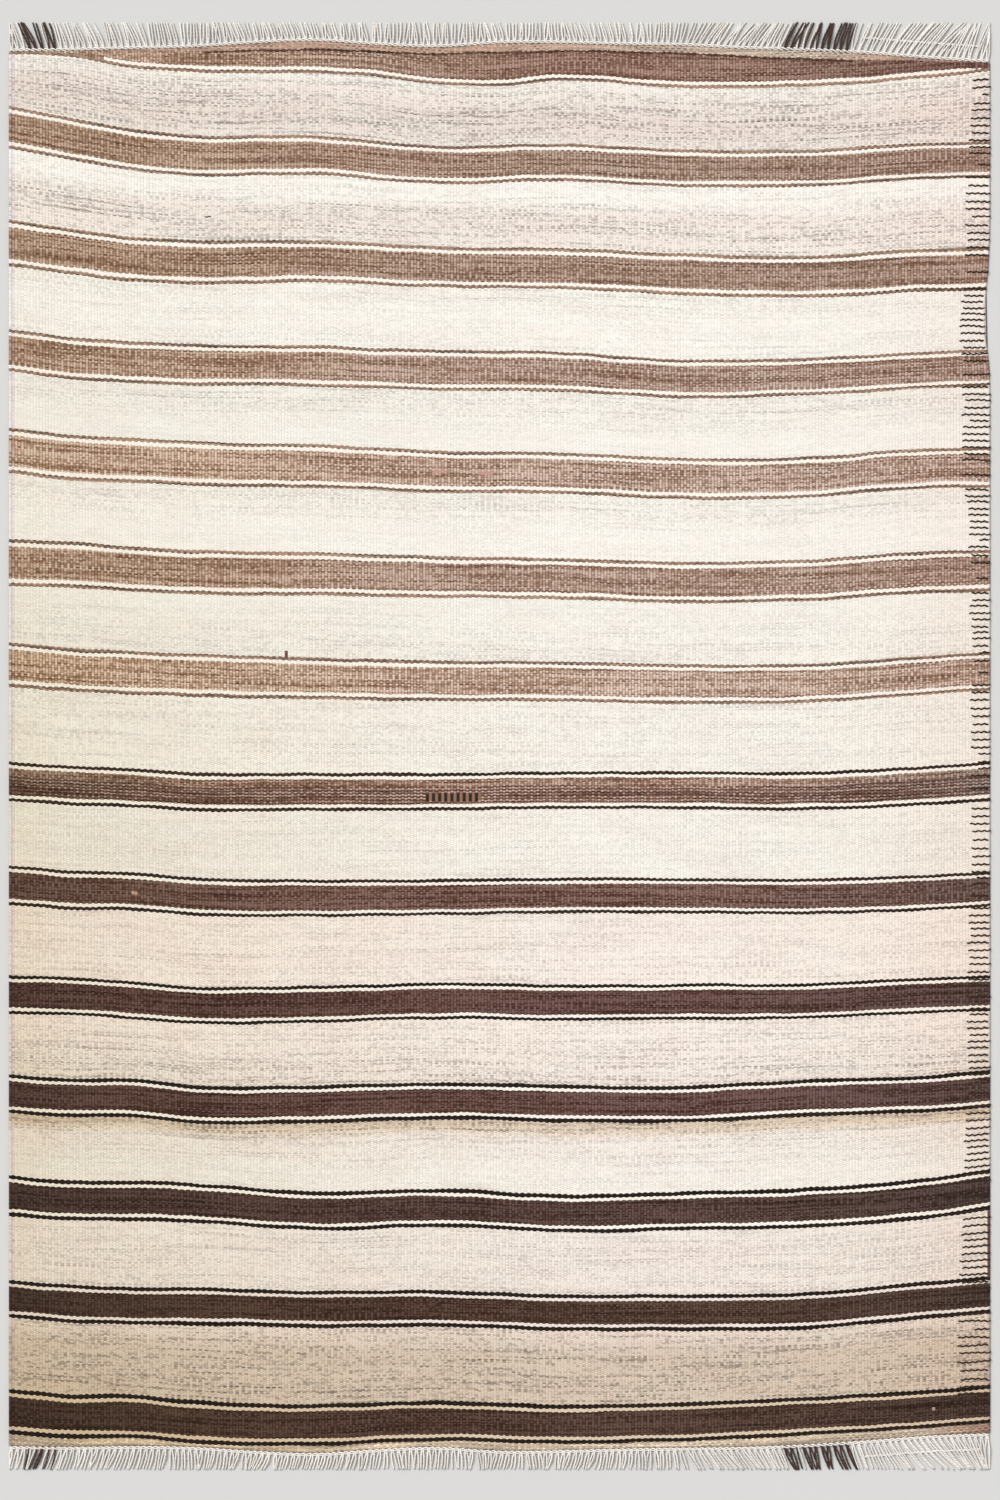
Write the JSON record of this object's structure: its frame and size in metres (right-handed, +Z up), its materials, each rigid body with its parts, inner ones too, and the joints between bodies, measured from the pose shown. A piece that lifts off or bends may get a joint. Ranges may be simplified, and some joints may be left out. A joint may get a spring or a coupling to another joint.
{
  "type": "flatweave rug",
  "caption": "Flat-woven wool rug with brown and ivory cross stripes, wandering ends and a trimmed warp fringe at each end.",
  "frame": {"origin": "middle of the rug, on the surface that it lies on", "axes": "+X along the weft, +Y along the warp towards the head end, +Z up from the surface"},
  "size_m": [1.22, 1.8, 0.0036],
  "materials": {
    "wool_cloth": "weft-faced plain weave in matte wool, ivory ground with brown stripes edged in ivory and thin brown lines",
    "warp_fringe": "plied grey-ivory warp yarn, matte, trimmed straight"
  },
  "bodies": {
    "root": {"cloth": "wool_cloth", "fringe_head": "warp_fringe", "fringe_foot": "warp_fringe"}
  },
  "joints": []
}
